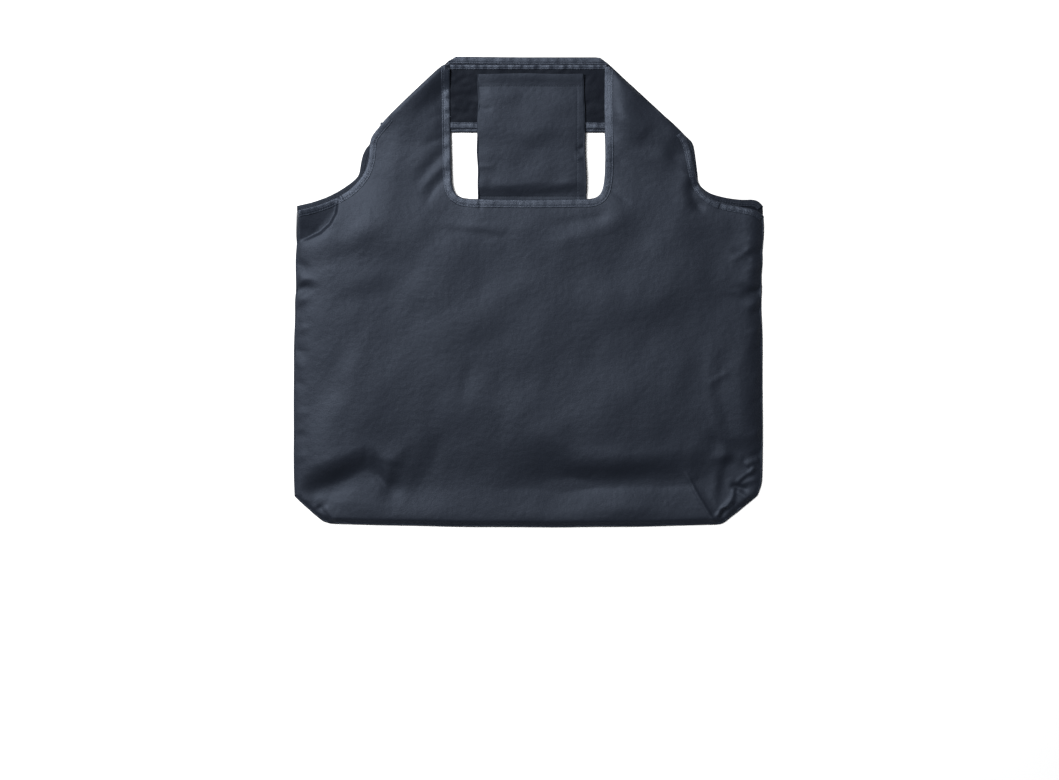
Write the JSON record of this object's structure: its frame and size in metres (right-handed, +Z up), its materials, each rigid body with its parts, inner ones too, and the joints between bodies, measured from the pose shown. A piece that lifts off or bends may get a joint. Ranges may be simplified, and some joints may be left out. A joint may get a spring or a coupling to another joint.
{
  "type": "foldable tote bag",
  "caption": "Flat-lying foldable shopping tote of thin fabric with bound handles folded in and a small packing pouch at the mouth.",
  "frame": {"origin": "middle of the bag's plan outline, on the face it rests on", "axes": "+X across the bag to the viewer's right, +Y from the base to the handles, +Z up through the layers from the back panel to the front panel"},
  "size_m": [0.4832, 0.484, 0.011],
  "materials": {
    "shell_fabric": "satin plain-weave polyester",
    "pouch_fabric": "satin plain-weave polyester",
    "binding_tape": "folded polyester binding tape, satin",
    "seam_tape": "bound seam allowance",
    "thread": "polyester sewing thread"
  },
  "bodies": {
    "bag_back": {"back_panel_upper": "shell_fabric", "front_panel_middle": "shell_fabric", "left_side_seam_upper": "seam_tape", "right_side_seam_upper": "seam_tape", "back_mouth_binding": "binding_tape", "back_left_armhole_binding": "binding_tape", "back_right_armhole_binding": "binding_tape"},
    "bag_base": {"back_panel_lower": "shell_fabric", "front_panel_lower": "shell_fabric", "left_side_seam_lower": "seam_tape", "right_side_seam_lower": "seam_tape", "base_bottom_seam": "seam_tape", "left_corner_seam": "seam_tape", "right_corner_seam": "seam_tape"},
    "bag_front": {"front_panel_upper": "shell_fabric", "front_mouth_binding": "binding_tape", "front_left_armhole_binding": "binding_tape", "front_right_armhole_binding": "binding_tape", "pouch_seam_tab": "pouch_fabric"},
    "front_handle": {"front_left_strap": "shell_fabric", "front_right_strap": "shell_fabric", "front_handle_join_seam": "seam_tape", "front_handle_inner_binding": "binding_tape", "front_handle_outer_binding": "binding_tape"},
    "back_handle": {"back_left_strap": "shell_fabric", "back_right_strap": "shell_fabric", "back_handle_join_seam": "seam_tape", "back_handle_inner_binding": "binding_tape", "back_handle_outer_binding": "binding_tape"},
    "pouch": {"pouch_back_panel": "pouch_fabric", "pouch_back_hem": "pouch_fabric", "pouch_left_seam": "pouch_fabric", "pouch_right_seam": "pouch_fabric", "pouch_bottom_seam": "pouch_fabric"},
    "pouch_front": {"pouch_front_panel": "pouch_fabric", "pouch_front_hem": "pouch_fabric"}
  },
  "joints": [
    {"name": "body_fold", "type": "hinge", "parent": "bag_back", "child": "bag_base", "pos_m": [0, -0.078, 0.013], "axis": [1, 0, 0], "range_deg": [-180, 0]},
    {"name": "mouth_open", "type": "hinge", "parent": "bag_back", "child": "bag_front", "pos_m": [0, -0.058, 0.0085], "axis": [1, 0, 0], "range_deg": [0, 14]},
    {"name": "front_handle_lift", "type": "hinge", "parent": "bag_front", "child": "front_handle", "pos_m": [0, 0.0947, 0.0113], "axis": [1, 0, 0], "range_deg": [0, 100]},
    {"name": "back_handle_lift", "type": "hinge", "parent": "bag_back", "child": "back_handle", "pos_m": [0, 0.0947, 0.0113], "axis": [1, 0, 0], "range_deg": [0, 90]},
    {"name": "pouch_flip", "type": "hinge", "parent": "front_handle", "child": "pouch", "pos_m": [0, 0.0947, 0.0113], "axis": [1, 0, 0], "range_deg": [0, 60]},
    {"name": "pouch_mouth_open", "type": "hinge", "parent": "pouch", "child": "pouch_front", "pos_m": [0, 0.095, 0.0113], "axis": [1, 0, 0], "range_deg": [0, 8]}
  ],
  "couplings": [
    {"joint": "back_handle_lift", "follows": "front_handle_lift", "ratio": 0.9}
  ]
}
